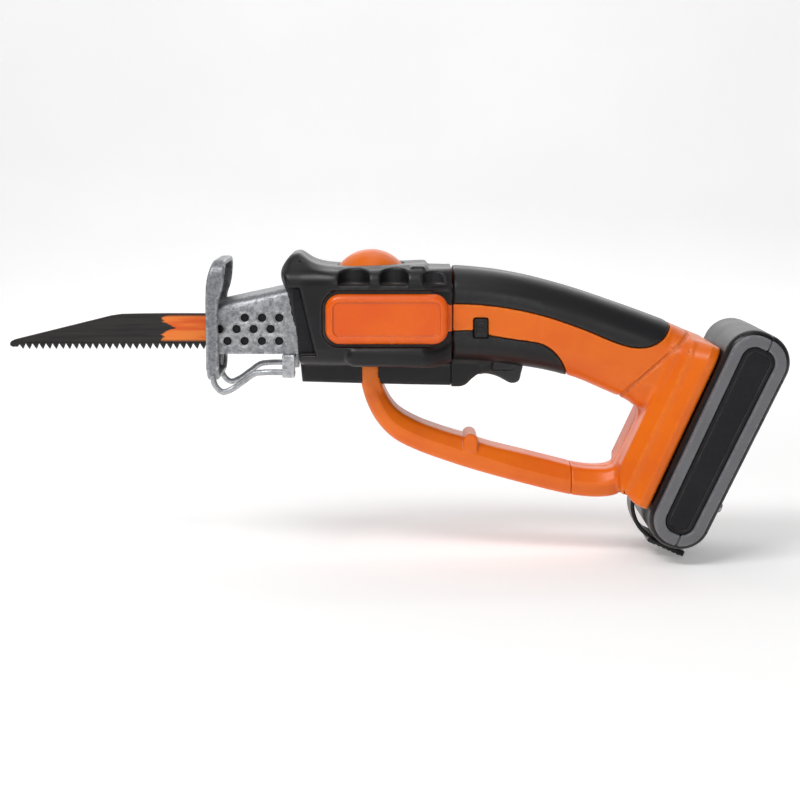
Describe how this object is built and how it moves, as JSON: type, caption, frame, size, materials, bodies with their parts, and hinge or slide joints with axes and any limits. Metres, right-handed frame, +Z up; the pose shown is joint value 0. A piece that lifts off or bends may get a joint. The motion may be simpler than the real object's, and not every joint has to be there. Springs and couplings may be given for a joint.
{
  "type": "cordless reciprocating saw",
  "caption": "Pistol-less cordless pruning saw with a reciprocating blade, sheet-metal shoe with wire branch rests, loop hand guard, soft grip and slide-on battery pack.",
  "frame": {"origin": "where the blade's stroke axis crosses the front face of the shoe", "axes": "-X is the way the blade points, +X runs back to the battery, +Z is up with the tool held level, -Y is the user's left side when holding the grip"},
  "size_m": [0.3754, 0.076, 0.1483],
  "materials": {
    "orange_shell": "satin moulded",
    "black_shell": "satin moulded",
    "soft_grip": "soft touch",
    "grey_plastic": "satin moulded",
    "zinc_sheet": "galvanised",
    "steel": "machined",
    "black_steel": "black coated",
    "alloy": "cast",
    "bronze": "sintered",
    "copper": "turned",
    "board": "lacquered",
    "cell_wrap": "shrink sleeve"
  },
  "bodies": {
    "body": {"left_housing": "orange_shell", "right_housing": "orange_shell", "left_nose_cover": "black_shell", "right_nose_cover": "black_shell", "left_side_panel": "orange_shell", "right_side_panel": "orange_shell", "left_top_grip": "soft_grip", "right_top_grip": "soft_grip", "left_lower_grip": "black_shell", "right_lower_grip": "black_shell", "hand_guard": "orange_shell", "housing_screws": "steel", "shoe_plate": "zinc_sheet", "shoe_channel": "zinc_sheet", "branch_wires": "steel", "wire_bracket": "steel", "front_bushing": "bronze", "gear_case": "alloy", "gear_cover": "alloy", "gear_screws": "steel", "guide_rails": "bronze", "gear_bearing": "steel", "motor_can": "zinc_sheet", "motor_magnets": "steel", "motor_endbell": "black_shell", "trigger_pin": "steel", "trigger_switch": "black_shell", "release_spring": "steel", "terminal_block": "black_shell", "terminal_blades": "bronze"},
    "plunger": {"plunger_rod": "steel", "blade_collar": "steel", "clamp_pin": "bronze", "blade": "black_steel"},
    "crank": {"crank_gear": "steel", "crank_roller": "bronze"},
    "rotor": {"rotor_shaft": "steel", "rotor_core": "steel", "commutator": "copper", "cooling_fan": "black_shell", "pinion": "steel"},
    "trigger": {"trigger": "grey_plastic"},
    "switch_plunger": {"switch_plunger": "grey_plastic"},
    "lock_button": {"lock_button": "black_shell"},
    "release_button": {"release_button": "orange_shell", "release_arm": "steel"},
    "battery": {"pack_cover": "black_shell", "pack_base": "black_shell", "pack_rings": "grey_plastic", "pack_panels": "black_shell", "cells": "cell_wrap", "cell_holders": "grey_plastic", "pack_board": "board", "pack_contacts": "bronze", "pack_screws": "steel"},
    "pack_latch": {"pack_latch": "black_shell"}
  },
  "joints": [
    {"name": "crank_turn", "type": "hinge", "parent": "body", "child": "crank", "pos_m": [0.084, 0, 0.0185], "axis": [0, 0, 1], "range_deg": [-90, 90]},
    {"name": "plunger_slide", "type": "slide", "parent": "body", "child": "plunger", "axis": [1, 0, 0], "range_m": [-0.01, 0.01]},
    {"name": "rotor_spin", "type": "hinge", "parent": "body", "child": "rotor", "pos_m": [0.12, 0, 0.0065], "axis": [1, 0, 0], "range_deg": [-360, 360]},
    {"name": "trigger_squeeze", "type": "hinge", "parent": "body", "child": "trigger", "pos_m": [0.1315, 0, -0.0155], "axis": [0, -1, 0], "range_deg": [0, 8], "stiffness_Nm_per_rad": 0.6, "springref_deg": -11.46},
    {"name": "switch_press", "type": "slide", "parent": "body", "child": "switch_plunger", "axis": [0, 0, 1], "range_m": [0, 0.0037]},
    {"name": "lock_press", "type": "slide", "parent": "body", "child": "lock_button", "axis": [0, 1, 0], "range_m": [0, 0.001], "stiffness_N_per_m": 600, "springref_m": -0.002},
    {"name": "release_press", "type": "slide", "parent": "body", "child": "release_button", "axis": [0, 0, -1], "range_m": [0, 0.0025], "stiffness_N_per_m": 800, "springref_m": -0.002},
    {"name": "battery_slide", "type": "slide", "parent": "body", "child": "battery", "axis": [-0.4067, 0, -0.9135], "range_m": [0, 0.1]},
    {"name": "latch_press", "type": "slide", "parent": "battery", "child": "pack_latch", "axis": [0.9135, 0, -0.4067], "range_m": [0, 0.003], "stiffness_N_per_m": 700, "springref_m": -0.002}
  ],
  "couplings": [
    {"joint": "plunger_slide", "follows": "crank_turn", "m_per_rad": 0.0063662},
    {"joint": "rotor_spin", "follows": "crank_turn", "ratio": -4},
    {"joint": "switch_press", "follows": "trigger_squeeze", "m_per_rad": 0.0262}
  ]
}
